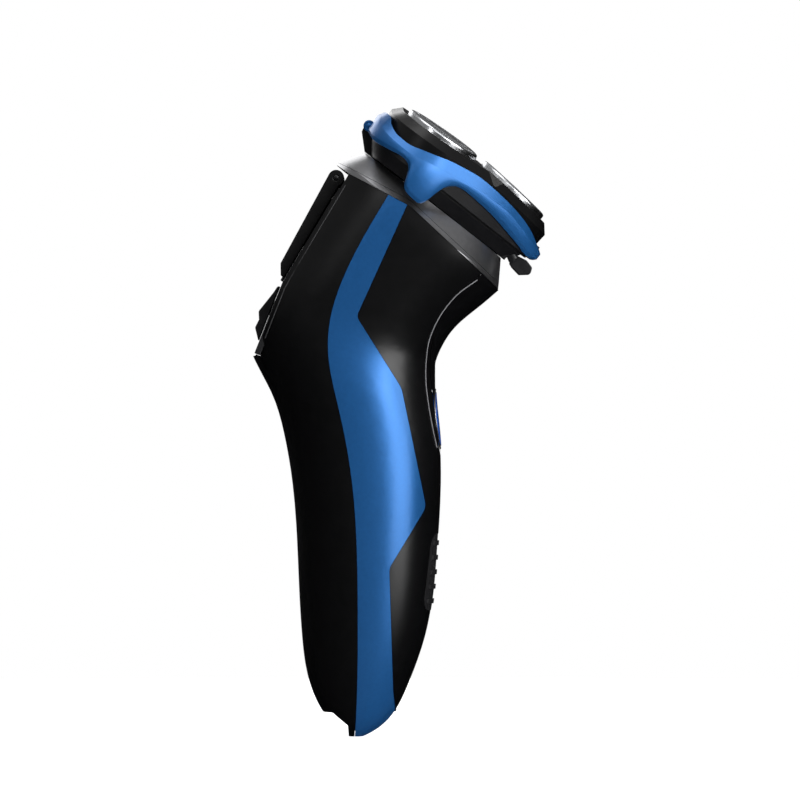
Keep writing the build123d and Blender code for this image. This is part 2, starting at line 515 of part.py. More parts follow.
# ---------------------------------------------------------------- shaving units
# Pan: one third of the head outline, hollow, with a bevelled rim and a round opening
petal = rounded_triangle(PAN_R) & (Pos(2 * PAN_GAP / 3 ** 0.5, 0) * wedge)
pan = slab(petal, PAN_FOOT, PAN_TOP)
pan = chamfer(pan.faces().sort_by(Axis.Z)[-1].edges(), PAN_CHAMFER)
pan -= slab(offset(petal, amount=-PAN_SKIN), PAN_FOOT - 1, PAN_TOP - PAN_SKIN - PAN_CHAMFER)
pan -= slab(offset(petal, amount=-PAN_SKIN - PAN_CHAMFER / 2), PAN_FOOT - 1, PAN_TOP - PAN_SKIN)
pan -= Pos(UNIT_CIRCLE, 0, 0) * rod(GUARD_R + CLEAR, -20, 5)
pan -= Pos(UNIT_CIRCLE, 0, 0) * rod(FLANGE_R + 0.3, -20, PAN_TOP - PAN_SKIN - 0.25)
for side in (-1, 1):
    pan += Pos(UNIT_CIRCLE, 0, TRUNNION_Z) * cross_rod(TRUNNION_R, *sorted((side * 11.9, side * 15.5)))

# Guard: slotted cap with an inner track groove, a side wall and a flange
guard = rod(GUARD_R, -GUARD_DEPTH, 0) + rod(FLANGE_R, -GUARD_DEPTH, -GUARD_DEPTH + FLANGE_THICK)
guard -= rod(GUARD_R - GUARD_WALL, -10, -GUARD_TOP)
slot = box((5.6, 9.3), (-SLOT_WIDTH / 2, SLOT_WIDTH / 2), (-2, 1))
guard -= [Rot(0, 0, 360 * step / SLOTS) * slot for step in range(SLOTS)]
guard -= rod(4.5, -GUARD_TOP + 0.2, 1) - rod(4.0, -3, 2)

# Cutter: disc on a socketed hub with a crown of lifting blades
cutter = rod(CUTTER_R - 1.0, -3.4, -2.4) + rod(HUB_R, -6.5, -2.4) - rod(SOCKET_R, -8.0, -3.6)
fin = box((6.0, CUTTER_R - 0.3), (-0.3, 0.3), (-3.0, -0.95))
cutter += [Rot(0, 0, 360 * step / CUTTER_BLADES) * fin for step in range(CUTTER_BLADES)]

for number, angle in enumerate(UNIT_ANGLES, 1):
    here = HEAD * unit_place(angle)
    save(f"pan_{number}", here * Pos(-UNIT_CIRCLE, 0, 0) * pan)
    save(f"guard_{number}", here * guard)
    save(f"cutter_{number}", here * cutter)

# ---------------------------------------------------------------- inside the handle
battery_cell = rod(BATTERY_R, BATTERY_LOW, BATTERY_HIGH)
battery = Pos(BATTERY_X, 0, 0) * fillet(battery_cell.edges(), 0.8)
battery_tabs = rod(3.0, BATTERY_LOW - 0.5, BATTERY_LOW) + rod(3.0, BATTERY_HIGH, BATTERY_HIGH + 0.5)
battery_tabs = Pos(BATTERY_X, 0, 0) * battery_tabs
circuit_board = box((BOARD_X, BOARD_X + BOARD_THICK), (-9.5, 9.5), (33.0, 100.0))
board_front = BOARD_X + BOARD_THICK
push_switch = box((board_front, board_front + 1.6), (-2.2, 2.2), (BUTTON_Z - 2.2, BUTTON_Z + 2.2))
push_switch += Pos(board_front + 1.85, 0, BUTTON_Z) * Rot(0, 90, 0) * Cylinder(1.0, 0.7)
charge_led = box((board_front, board_front + 0.8), (-1.6, 1.6), (LENS_Z - 0.8, LENS_Z + 0.8))
control_chip = box((board_front, board_front + 1.0), (-3.5, 3.5), (60.0, 67.0))

for name, shape in {
    "rear_housing": rear_housing, "middle_band": middle_band, "front_housing": front_housing,
    "front_panel": front_panel, "power_button": power_button, "indicator_lens": indicator_lens,
    "front_grip": front_grip, "charging_socket": charging_socket, "charging_pins": charging_pins,
    "trimmer_frame": trimmer_frame, "trimmer_cover": trimmer_cover, "trimmer_pin": trimmer_pin,
    "trimmer_comb": trimmer_comb, "trimmer_blade": trimmer_blade, "trimmer_slide": trimmer_slide,
    "neck_cover": neck_cover, "neck_trim_ring": neck_trim_ring, "spindle_seals": spindle_seals,
    "gear_plate": gear_plate, "plate_screws": plate_screws, "motor_can": motor_can,
    "motor_end_cap": motor_end_cap, "motor_shaft": motor_shaft, "motor_pinion": motor_pinion,
    "head_base": head_base, "release_tab": release_tab, "head_frame": head_frame, "head_pin": head_pin,
    "retaining_plate": retaining_plate, "battery": battery, "battery_tabs": battery_tabs,
    "circuit_board": circuit_board, "push_switch": push_switch, "charge_led": charge_led,
    "control_chip": control_chip,
}.items():
    save(name, shape)
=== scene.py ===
import json
from math import cos, hypot, pi, radians, sin, tan

import bmesh
import bpy
from mathutils import Matrix, Vector
from mathutils.bvhtree import BVHTree


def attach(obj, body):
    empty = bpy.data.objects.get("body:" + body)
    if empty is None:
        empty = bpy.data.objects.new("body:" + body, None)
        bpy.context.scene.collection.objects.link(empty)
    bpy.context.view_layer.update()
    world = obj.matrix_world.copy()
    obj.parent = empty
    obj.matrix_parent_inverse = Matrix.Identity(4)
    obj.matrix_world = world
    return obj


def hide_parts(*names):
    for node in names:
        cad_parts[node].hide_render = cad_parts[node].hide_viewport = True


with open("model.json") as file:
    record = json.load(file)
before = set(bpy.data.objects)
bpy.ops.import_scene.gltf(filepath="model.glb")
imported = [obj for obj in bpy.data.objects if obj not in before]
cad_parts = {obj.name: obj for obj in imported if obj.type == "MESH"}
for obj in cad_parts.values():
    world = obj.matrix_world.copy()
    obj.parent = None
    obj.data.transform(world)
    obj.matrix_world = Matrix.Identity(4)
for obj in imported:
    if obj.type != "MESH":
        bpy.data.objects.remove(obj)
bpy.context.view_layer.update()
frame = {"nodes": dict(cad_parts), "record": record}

MM = 0.001
SIDES = ((-1, "left"), (1, "right"))

# ------------------------------------------------------------------ head frame and shaving units
HEAD_TILT = radians(37.7)
HEAD_ORIGIN = Vector((18.2, 0.0, 153.0))
U = Vector((cos(HEAD_TILT), 0, -sin(HEAD_TILT)))
N = Vector((sin(HEAD_TILT), 0, cos(HEAD_TILT)))
UNIT_CIRCLE = 15.5
UNIT_TILT = radians(5.3)
UNIT_ANGLES = [0, 120, 240]


def head_matrix():
    """Head frame in the row frame, millimetres in, metres out."""
    matrix = Matrix.Identity(4)
    for row in range(3):
        matrix[row][0], matrix[row][1], matrix[row][2] = U[row] * MM, (0, MM, 0)[row], N[row] * MM
        matrix[row][3] = HEAD_ORIGIN[row] * MM
    return matrix


HEAD = head_matrix()


def unit_matrix(angle):
    """Frame of one shaving unit."""
    return (HEAD @ Matrix.Rotation(radians(angle), 4, "Z") @ Matrix.Translation((UNIT_CIRCLE, 0, 0))
            @ Matrix.Rotation(UNIT_TILT, 4, "Y"))


# ------------------------------------------------------------------ materials
def material(name, color, rough, metallic=0.0, coat=0.0, rough_spread=0.06, grain=300.0, bump=0.0,
             bump_scale=900.0, tint=0.08, aniso=0.0, coat_rough=0.06, specular=0.5, stretch=(1, 1, 1)):
    """Principled finish with procedural colour, roughness and surface grain."""
    mat = bpy.data.materials.new(name)
    mat.use_nodes = True
    nodes, links = mat.node_tree.nodes, mat.node_tree.links
    shader = nodes["Principled BSDF"]
    shader.inputs["Metallic"].default_value = metallic
    shader.inputs["Coat Weight"].default_value = coat
    shader.inputs["Coat Roughness"].default_value = coat_rough
    shader.inputs["Anisotropic"].default_value = aniso
    shader.inputs["Specular IOR Level"].default_value = specular
    place = nodes.new("ShaderNodeTexCoord")
    scale = nodes.new("ShaderNodeMapping")
    scale.inputs["Scale"].default_value = stretch
    links.new(place.outputs["Object"], scale.inputs["Vector"])
    noise = nodes.new("ShaderNodeTexNoise")
    noise.inputs["Scale"].default_value = grain
    noise.inputs["Detail"].default_value = 4.0
    links.new(scale.outputs["Vector"], noise.inputs["Vector"])
    ramp = nodes.new("ShaderNodeValToRGB")
    ramp.color_ramp.elements[0].position = 0.3
    ramp.color_ramp.elements[1].position = 0.7
    ramp.color_ramp.elements[0].color = (*[c * (1 - tint) for c in color], 1)
    ramp.color_ramp.elements[1].color = (*[min(1, c * (1 + tint)) for c in color], 1)
    links.new(noise.outputs["Fac"], ramp.inputs["Fac"])
    links.new(ramp.outputs["Color"], shader.inputs["Base Color"])
    spread = nodes.new("ShaderNodeMapRange")
    spread.inputs["From Min"].default_value = 0.3
    spread.inputs["From Max"].default_value = 0.7
    spread.inputs["To Min"].default_value = max(0.02, rough - rough_spread)
    spread.inputs["To Max"].default_value = rough + rough_spread
    links.new(noise.outputs["Fac"], spread.inputs["Value"])
    links.new(spread.outputs["Result"], shader.inputs["Roughness"])
    if bump:
        fine = nodes.new("ShaderNodeTexNoise")
        fine.inputs["Scale"].default_value = bump_scale
        fine.inputs["Detail"].default_value = 3.0
        links.new(scale.outputs["Vector"], fine.inputs["Vector"])
        relief = nodes.new("ShaderNodeBump")
        relief.inputs["Strength"].default_value = bump
        relief.inputs["Distance"].default_value = 0.00005
        links.new(fine.outputs["Fac"], relief.inputs["Height"])
        links.new(relief.outputs["Normal"], shader.inputs["Normal"])
    return mat


MATS = {
    "gloss_black": material("gloss_black", (0.0015, 0.0015, 0.0018), 0.34, coat=0.25, rough_spread=0.02,
                            bump=0.03, specular=0.28, coat_rough=0.3),
    "pearl_blue": material("pearl_blue", (0.010, 0.098, 0.300), 0.38, metallic=0.60, coat=0.16, grain=1200.0,
                           tint=0.05, bump=0.03, bump_scale=4000.0, coat_rough=0.22, rough_spread=0.03),
    "satin_black": material("satin_black", (0.005, 0.005, 0.006), 0.42, bump=0.12, bump_scale=5000.0,
                            specular=0.3),
    "gunmetal": material("gunmetal", (0.27, 0.27, 0.28), 0.30, metallic=0.95, grain=900.0, tint=0.04,
                         rough_spread=0.02),
    "chrome": material("chrome", (0.56, 0.57, 0.59), 0.26, metallic=1.0, rough_spread=0.03, tint=0.03),
    "blade_steel": material("blade_steel", (0.42, 0.42, 0.44), 0.26, metallic=1.0, bump=0.2,
                            bump_scale=2500.0, stretch=(1, 1, 6)),
    "button_blue": material("button_blue", (0.012, 0.085, 0.42), 0.25, coat=0.8, rough_spread=0.03),
    "rubber_black": material("rubber_black", (0.008, 0.008, 0.009), 0.55, bump=0.4, bump_scale=6000.0,
                             specular=0.3),
    "clear_lens": material("clear_lens", (0.30, 0.33, 0.36), 0.08, coat=1.0, rough_spread=0.02),
    "white_plastic": material("white_plastic", (0.72, 0.72, 0.70), 0.4, bump=0.1),
    "board_green": material("board_green", (0.01, 0.10, 0.04), 0.35, grain=800.0, tint=0.3, bump=0.3),
    "battery_wrap": material("battery_wrap", (0.02, 0.25, 0.16), 0.25, coat=0.5),
    "gear_plastic": material("gear_plastic", (0.70, 0.69, 0.65), 0.42, bump=0.15),
    "contact_brass": material("contact_brass", (0.60, 0.42, 0.16), 0.25, metallic=1.0, bump=0.1),
    # highlight_line_grey is a painted highlight: a flat grey that stands in for the light caught along the
    # front panel's step edge
    "highlight_line_grey": material("highlight_line_grey", (0.16, 0.16, 0.17), 0.5, tint=0.03),
    "line_dark": material("line_dark", (0.035, 0.035, 0.037), 0.4, tint=0.03),
}
SLOT_OF = {part["node"]: part["material_slot"] for part in frame["record"]["subparts"]}


def dress(obj, slot, finish=None):
    """Give an object one finish, its slot's own unless another is named."""
    obj.data.materials.clear()
    obj.data.materials.append(MATS[finish or slot])


for name, obj in frame["nodes"].items():
    dress(obj, SLOT_OF[name])


# ------------------------------------------------------------------ mesh helpers
def new_object(name, mesh, body, slot, finish=None):
    """Link a finished mesh, dress it and let it ride on a body."""
    obj = bpy.data.objects.new(name, mesh)
    bpy.context.scene.collection.objects.link(obj)
    dress(obj, slot, finish)
    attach(obj, body)
    return obj


def grid_mesh(name, rows, closed_rows=True, closed_columns=False, sharp_rows=(), skip=None):
    """Quads over rows of points, smooth except along the sharp rows."""
    bm = bmesh.new()
    verts = [[bm.verts.new(point) for point in row] for row in rows]
    count = len(rows[0])
    row_pairs = [(i, i + 1) for i in range(len(rows) - 1)]
    if closed_columns:
        row_pairs.append((len(rows) - 1, 0))
    for low, high in row_pairs:
        for j in range(count if closed_rows else count - 1):
            k = (j + 1) % count
            if skip and skip(low, j):
                continue
            bm.faces.new((verts[low][j], verts[low][k], verts[high][k], verts[high][j]))
    for face in bm.faces:
        face.smooth = True
    bm.edges.ensure_lookup_table()
    for i in sharp_rows:
        row = set(verts[i])
        for vert in verts[i]:
            for edge in vert.link_edges:
                if edge.verts[0] in row and edge.verts[1] in row:
                    edge.smooth = False
    bmesh.ops.remove_doubles(bm, verts=bm.verts, dist=1e-9)
    bmesh.ops.recalc_face_normals(bm, faces=bm.faces)
    mesh = bpy.data.meshes.new(name)
    bm.to_mesh(mesh)
    bm.free()
    return mesh


def lathe(name, profile, place, body, slot, sharp=(), segments=96):
    """Turned piece from (radius, height) points in millimetres."""
    turns = [2 * pi * i / segments for i in range(segments)]
    rows = [[place @ Vector((radius * cos(turn), radius * sin(turn), height)) for turn in turns]
            for radius, height in profile]
    return new_object(name, grid_mesh(name, rows, sharp_rows=sharp), body, slot)


# ------------------------------------------------------------------ slotted guards with turned caps
SLOT_COUNT = 72
SLOT_SHARE = 0.42
GUARD_PROFILE = [(4.35, -0.55), (4.35, 0.02), (4.5, 0.10), (4.75, 0.10), (4.95, -0.02), (5.3, -0.05),
                 (5.5, -0.02), (7.1, 0.0), (7.35, 0.0), (7.5, -0.10), (7.75, -0.10), (7.9, 0.0),
                 (8.1, 0.0), (9.7, -0.02), (10.05, -0.08), (10.35, -0.22), (10.53, -0.45), (10.6, -0.8),
                 (10.6, -3.35), (11.15, -3.45), (11.15, -4.15), (10.4, -4.15)]
SLOT_ROWS = {6, 12, 13}
GUARD_SHARP = (1, 3, 8, 11, 18, 19, 20)
GUARD_SHEET = 0.32
CAP_PROFILE = [(0.0, 0.22), (1.1, 0.20), (1.35, 0.02), (1.9, -0.02), (2.15, 0.16), (3.5, 0.12), (3.9, -0.02),
               (4.1, -0.2), (4.1, -0.7), (0.0, -0.7)]


def guard_mesh(name, place):
    """Guard skin with open radial slots in two tracks."""
    columns = []
    for step in range(SLOT_COUNT):
        start = 2 * pi * step / SLOT_COUNT
        width = 2 * pi / SLOT_COUNT
        columns += [start, start + width * (1 - SLOT_SHARE) / 2, start + width * (1 - SLOT_SHARE)]
    rows = [[place @ Vector((r * cos(a), r * sin(a), z)) for a in columns] for r, z in GUARD_PROFILE]
    return grid_mesh(name, rows, sharp_rows=GUARD_SHARP,
                     skip=lambda row, column: row in SLOT_ROWS and column % 3 == 2)


for number, angle in enumerate(UNIT_ANGLES, 1):
    place = unit_matrix(angle)
    skin = f"guard_skin_{number}"
    guard = new_object(skin, guard_mesh(skin, place), f"float_{number}", "chrome")
    sheet = guard.modifiers.new("sheet", "SOLIDIFY")
    sheet.thickness = GUARD_SHEET * MM
    sheet.offset = -1
    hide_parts(f"guard_{number}")
    lathe(f"guard_cap_{number}", CAP_PROFILE, place, f"float_{number}", "gunmetal", sharp=(1, 2, 4, 7, 8))


# ------------------------------------------------------------------ faceted head frame
FRAME_R, FRAME_INNER_R = 16.0, 14.8
CORNER_REACH = 54.0
FRAME_TOP = [(-26.0, -5.2), (-22.3, -5.5), (-20.6, -7.1), (-17.3, -8.35), (-14.0, -8.5), (-8.8, -7.4),
             (0.9, -4.9), (8.5, -3.9), (16.7, -4.4), (22.1, -5.3), (26.4, -6.6), (29.7, -8.2), (33.0, -9.8)]
FRAME_CREASE = [(-26.0, -6.8), (-23.6, -7.0), (-22.1, -8.7), (-19.6, -9.65), (-16.1, -10.0), (-12.1, -10.2),
                (-6.4, -9.2), (3.0, -7.55), (10.0, -6.6), (17.5, -6.5), (23.4, -7.55), (28.5, -8.9),
                (33.0, -10.2)]
FRAME_FOOT = [(-26.0, -11.2), (-21.4, -13.2), (-17.0, -12.7), (-12.6, -12.1), (-10.6, -12.5), (-9.3, -13.6),
              (-8.5, -15.4), (-7.6, -17.4), (-6.9, -18.3), (-5.2, -18.9), (-2.0, -19.15), (-1.0, -18.8),
              (-0.3, -17.8), (0.3, -15.2), (1.2, -12.4), (2.4, -10.6), (4.0, -9.5), (6.2, -9.1), (13.7, -9.5),
              (24.5, -11.35), (30.2, -12.5), (33.0, -11.6)]
OUTLINE_POINTS = 640
HINGE_BACK, HINGE_HALF, HINGE_FOOT = -20, 5.45, -8.9
SKIRT_BACK = -14
SKIRT_SECTION = ((14.76, -8.5), (14.76, -12.5), (14.5, -12.5), (14.5, -8.5))
EYE = (-24.4, -10.7)
EYE_PROFILE = [(0.62, 5.4), (1.3, 5.4), (1.5, 5.6), (1.5, 8.75), (1.25, 9.0), (0.62, 9.0)]


def smooth_step_through(points, x):
    """Height of a smooth line through the points at x (monotone cubic between neighbours)."""
    if x <= points[0][0]:
        return points[0][1]
    for i in range(len(points) - 1):
        (x0, y0), (x1, y1) = points[i], points[i + 1]
        if x <= x1:
            slope = (y1 - y0) / (x1 - x0)
            before = slope if i == 0 else (y0 - points[i - 1][1]) / (x0 - points[i - 1][0])
            after = slope if i + 2 == len(points) else (points[i + 2][1] - y1) / (points[i + 2][0] - x1)
            m0 = 0 if before * slope <= 0 else 2 * before * slope / (before + slope)
            m1 = 0 if after * slope <= 0 else 2 * after * slope / (after + slope)
            w, t = x1 - x0, (x - x0) / (x1 - x0)
            return (y0 * (1 + 2 * t) * (1 - t) ** 2 + y1 * t * t * (3 - 2 * t)
                    + m0 * w * t * (1 - t) ** 2 - m1 * w * t * t * (1 - t))
    return points[-1][1]


def head_outline(count):
    """Points on the unit circles' outline as (centre, direction, extra radius), evenly spread."""
    reach = radians(CORNER_REACH)
    back = UNIT_CIRCLE * tan(reach) / (sin(pi / 3) - tan(reach) / 2)
    side_radius = hypot(UNIT_CIRCLE + back / 2, back * sin(pi / 3))
    pieces = []
    for angle in UNIT_ANGLES:
        a = radians(angle)
        pieces.append((Vector((UNIT_CIRCLE * cos(a), UNIT_CIRCLE * sin(a))), a - reach, a + reach, 0.0))
        middle = a + pi / 3
        half = pi / 3 - reach
        pieces.append((Vector((-back * cos(middle), -back * sin(middle))), middle - half, middle + half,
                       side_radius))
    lengths = [(end - start) * (extra + FRAME_R) for _, start, end, extra in pieces]
    total = sum(lengths)
    spots = []
    for (centre, start, end, extra), length in zip(pieces, lengths):
        steps = max(8, round(count * length / total))
        for step in range(steps):
            spots.append((centre, start + (end - start) * step / steps, extra))
    return spots


OUTLINE = head_outline(OUTLINE_POINTS)


def along_head(spot, radius):
    """Distances forward and across, in the head frame, of an outline spot at a radius."""
    centre, turn, extra = spot
    reach = extra + radius
    return centre.x + reach * cos(turn), centre.y + reach * sin(turn)


def outline_point(spot, radius, height):
    """The same spot at a height, in the row frame."""
    return HEAD @ Vector((*along_head(spot, radius), height))


def frame_rows():
    """Rows of the ring's cross-section all the way round, with the foot raised at the hinge."""
    rows = [[] for _ in range(10)]
    for spot in OUTLINE:
        u, y = along_head(spot, FRAME_R)
        top = smooth_step_through(FRAME_TOP, u)
        crease = smooth_step_through(FRAME_CREASE, u)
        foot = smooth_step_through(FRAME_FOOT, u)
        if u < HINGE_BACK and abs(y) < HINGE_HALF:
            foot = HINGE_FOOT
        lip = min(0.95, (crease - foot) * 0.3)
        section = [(FRAME_INNER_R, foot + 0.15), (FRAME_INNER_R + 0.1, foot), (FRAME_R - 0.78, foot),
                   (FRAME_R - 0.62, foot + 0.12), (FRAME_R - 0.04, foot + lip), (FRAME_R, foot + lip + 0.15),
                   (FRAME_R, crease - 0.12), (FRAME_R - 0.08, crease + 0.05),
                   (FRAME_INNER_R + 0.22, top), (FRAME_INNER_R, top - 0.2)]
        for row, (radius, height) in zip(rows, section):
            row.append(outline_point(spot, radius, height))
    return rows


frame_ring = new_object("frame_ring", grid_mesh("frame_ring", frame_rows(), closed_columns=True,
                                                sharp_rows=(0, 1, 2, 4, 7, 8, 9)), "head", "pearl_blue")
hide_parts("head_frame")

# Dark skirt inside the ring, open at the hinge
backmost = min(range(len(OUTLINE)), key=lambda i: along_head(OUTLINE[i], FRAME_R)[0])
skirt_path = [spot for spot in OUTLINE[backmost:] + OUTLINE[:backmost]
              if along_head(spot, FRAME_R)[0] > SKIRT_BACK]
skirt_rows = [[outline_point(spot, radius, height) for spot in skirt_path] for radius, height in SKIRT_SECTION]
new_object("frame_skirt", grid_mesh("frame_skirt", skirt_rows, closed_rows=False, closed_columns=True,
                                    sharp_rows=(0, 1, 2, 3)), "head", "satin_black")


def eye_matrix(side):
    """Axis of the head's hinge, pointing outwards to one side."""
    return HEAD @ Matrix.Translation((EYE[0], 0, EYE[1])) @ Matrix.Rotation(radians(-90 * side), 4, "X")


for side, label in SIDES:
    lathe(f"frame_eye_{label}", EYE_PROFILE, eye_matrix(side), "head", "pearl_blue", sharp=(0, 1, 4, 5),
          segments=48)

# ------------------------------------------------------------------ caps over the hinge pins
RAIL_START, RAIL_BEND = Vector((-12.9, 0, 146.7)), Vector((-29.9, 0, 118.3))
rail_along = (RAIL_BEND - RAIL_START).normalized()
rail_up = Vector((rail_along.z, 0, -rail_along.x))
hinge = (RAIL_START + rail_along * 2.5 + rail_up * 2.4) * MM
ARM_CAP = [(0.0, 14.05), (0.6, 14.03), (0.76, 13.95), (0.78, 13.5), (0.0, 13.45)]
EYE_CAP = [(0.0, 9.12), (0.5, 9.08), (0.75, 8.98), (0.8, 8.9), (0.0, 8.85)]
for side, label in SIDES:
    arm_pin = Matrix.Translation(hinge) @ Matrix.Scale(MM, 4) @ Matrix.Rotation(radians(-90 * side), 4, "X")
    lathe(f"arm_cap_{label}", ARM_CAP, arm_pin, "trimmer", "gloss_black", segments=32)
    lathe(f"eye_cap_{label}", EYE_CAP, eye_matrix(side), "head", "pearl_blue", segments=32)

# ------------------------------------------------------------------ lines and gaskets along the parting edges
PANEL_LINE = [(20.5, 119.2), (15.1, 115.2), (10.8, 109.8), (8.1, 103.9), (7.2, 98.5), (7.1, 92.6),
              (7.9, 86.0), (9.0, 80.0), (10.0, 75.5)]
PANEL_EDGE = [(20.0, 119.3), (12.7, 112.8), (9.0, 103.6), (8.3, 97.1), (9.0, 89.2), (10.1, 80.0),
              (10.9, 74.8)]
BAND_FRONT = [(3.5, 141.3), (-10.9, 109.6), (0.8, 91.0), (7.2, 60.0), (-2.4, 44.2), (-1.4, 12.0), (0.6, -6.0)]
BAND_FRONT_ROUND = [0, 2.2, 7.0, 4.0, 4.0, 6.0, 0]
BAND_BACK = [(1.0, 147.2), (-7.5, 133.0), (-14.0, 120.4), (-17.9, 107.8), (-18.2, 99.4), (-15.8, 86.8),
             (-12.9, 72.5), (-11.2, 57.0), (-10.6, 35.5), (-10.7, 15.0), (-11.4, 0.0), (-12.0, -6.0)]
GASKET_DEPTH, GASKET_RADIUS = 1.3, 0.5
BAND_FRONT_SPAN = (6.4, 139)
BAND_BACK_SPAN = (1.4, 143)
PANEL_EDGE_SPAN = (90.6, 120)
RAIL_FOOT = Vector((-37.3, 0, 99.6))
RAIL_LINE_DROP = 0.8


def spline_points(points, steps):
    """Points of a smooth line (uniform Catmull-Rom, through every given point)."""
    out = []
    for i in range(len(points) - 1):
        before = points[max(i - 1, 0)]
        start, end = points[i], points[i + 1]
        after = points[min(i + 2, len(points) - 1)]
        for step in range(steps):
            t = step / steps
            out.append(tuple(0.5 * (2 * b + (c - a) * t + (2 * a - 5 * b + 4 * c - d) * t * t
                                    + (3 * b - a - 3 * c + d) * t ** 3)
                             for a, b, c, d in zip(before, start, end, after)))
    out.append(points[-1])
    return out


def tree_of(node):
    """A node's faces, ready for ray casts."""
    mesh = frame["nodes"][node].data
    return BVHTree.FromPolygons([vertex.co for vertex in mesh.vertices],
                                [face.vertices for face in mesh.polygons])


SHELLS = [tree_of(node) for node in ("rear_housing", "middle_band", "front_housing", "front_panel")]


def drape(line, lift, depth=0.0):
    """Side-view line laid on the left outer faces, lifted off them and sunk under them as told."""
    laid = []
    for x, z in line:
        hits = [shell.ray_cast(Vector((x * MM, -0.1, z * MM)), Vector((0, 1, 0))) for shell in SHELLS]
        hits = [hit for hit in hits if hit[0] is not None and hit[0].y < -0.001]
        if hits:
            spot, normal = min(((hit[0], hit[1]) for hit in hits), key=lambda pair: pair[0].y)
            if normal.y > 0:
                normal = -normal
            sunk = min(depth * MM / max(0.2, -normal.y), -spot.y - 0.6 * MM)
            laid.append((spot + normal * lift * MM + Vector((0, sunk, 0)), normal))
    return laid


def line_tube(name, laid, radius, body, slot, finish=None):
    """Thin round wire through draped points, and its mirror image."""
    sides = 8
    for label, mirror in (("left", 1), ("right", -1)):
        rows = []
        for i, (spot, normal) in enumerate(laid):
            ahead = laid[min(i + 1, len(laid) - 1)][0]
            behind = laid[max(i - 1, 0)][0]
            along = (ahead - behind).normalized()
            across = along.cross(normal).normalized()
            row = []
            for side in range(sides):
                turn = 2 * pi * side / sides
                point = spot + (across * cos(turn) + normal * sin(turn)) * radius * MM
                row.append(Vector((point.x, point.y * mirror, point.z)))
            rows.append(row)
        mesh = grid_mesh(f"{name}_{label}", rows)
        new_object(f"{name}_{label}", mesh, body, slot, finish)


def gasket(name, line, dx):
    """Rubber cord under a seam, moved a little along X."""
    laid = drape([(x + dx, z) for x, z in line], 0.0, GASKET_DEPTH)
    line_tube(name, laid, GASKET_RADIUS, "handle", "rubber_black")


def rounded_line(points, radii, steps=8):
    """Broken line with its corners rounded."""
    out = [points[0]]
    for i in range(1, len(points) - 1):
        corner = Vector(points[i])
        back, ahead = (Vector(points[i - 1]) - corner), (Vector(points[i + 1]) - corner)
        half = back.angle(ahead) / 2
        reach = min(radii[i] / tan(half), back.length * 0.49, ahead.length * 0.49)
        start, end = corner + back.normalized() * reach, corner + ahead.normalized() * reach
        for step in range(steps + 1):
            t = step / steps
            spot = start * (1 - t) ** 2 + corner * 2 * t * (1 - t) + end * t * t
            out.append((spot.x, spot.y))
    out.append(points[-1])
    return out


def divided(line, gap):
    """The same line with a point at least every so many millimetres."""
    out = []
    for (x0, z0), (x1, z1) in zip(line, line[1:]):
        parts = max(1, int(hypot(x1 - x0, z1 - z0) / gap))
        out += [(x0 + (x1 - x0) * k / parts, z0 + (z1 - z0) * k / parts) for k in range(parts)]
    out.append(line[-1])
    return out


def within(line, span):
    """The part of a side-view line between two heights."""
    return [(x, z) for x, z in line if span[0] < z < span[1]]


# Wire along the front panel's parting edge: the seam is real, and its grey colour is a painted highlight of
# the panel's step edge
line_tube("panel_highlight_line", drape(spline_points(PANEL_LINE, 10), 0.05), 0.14, "handle", "gunmetal", "highlight_line_grey")

# Line under the trimmer's rail, along its upper stretch and then its lower one
rail_low = (RAIL_FOOT - RAIL_BEND).normalized()
rail_low_up = Vector((rail_low.z, 0, -rail_low.x))
rail_spots = [RAIL_START + rail_along * step - rail_up * RAIL_LINE_DROP for step in range(3, 20, 2)]
rail_spots += [RAIL_BEND + rail_low * step - rail_low_up * RAIL_LINE_DROP for step in range(1, 19, 2)]
rail_line = [(spot.x, spot.z) for spot in rail_spots]
line_tube("rail_line", drape(rail_line, 0.02), 0.12, "handle", "satin_black", "line_dark")

# Gaskets, so that no light passes where the seams of the two sides line up
front_curve = divided(rounded_line(BAND_FRONT, BAND_FRONT_ROUND), 1.5)
gasket("band_gasket_front", within(front_curve, BAND_FRONT_SPAN), -0.15)
gasket("band_gasket_back", within(spline_points(BAND_BACK, 12), BAND_BACK_SPAN), 0.15)
gasket("panel_gasket", within(spline_points(PANEL_EDGE, 10), PANEL_EDGE_SPAN), 0.12)

# ------------------------------------------------------------------ bezel around the power button
BUTTON_Z = 83.0
BEZEL_HALF = (6.7, 7.7)
BEZEL_RADIUS = 0.22
FORWARD = Vector((1, 0, 0))
bezel_rows = []
for step in range(96):
    turn = 2 * pi * step / 96
    start = Vector((0.1, BEZEL_HALF[0] * cos(turn) * MM, (BUTTON_Z + BEZEL_HALF[1] * sin(turn)) * MM))
    hits = [shell.ray_cast(start, -FORWARD) for shell in SHELLS]
    spot = max((hit[0] for hit in hits if hit[0] is not None), key=lambda point: point.x)
    outward = Vector((0, cos(turn), sin(turn)))
    bezel_rows.append([spot + (outward * cos(k * pi / 5) + FORWARD * sin(k * pi / 5)) * BEZEL_RADIUS * MM
                       for k in range(10)])
new_object("button_bezel", grid_mesh("button_bezel", bezel_rows, closed_columns=True), "handle", "gunmetal")

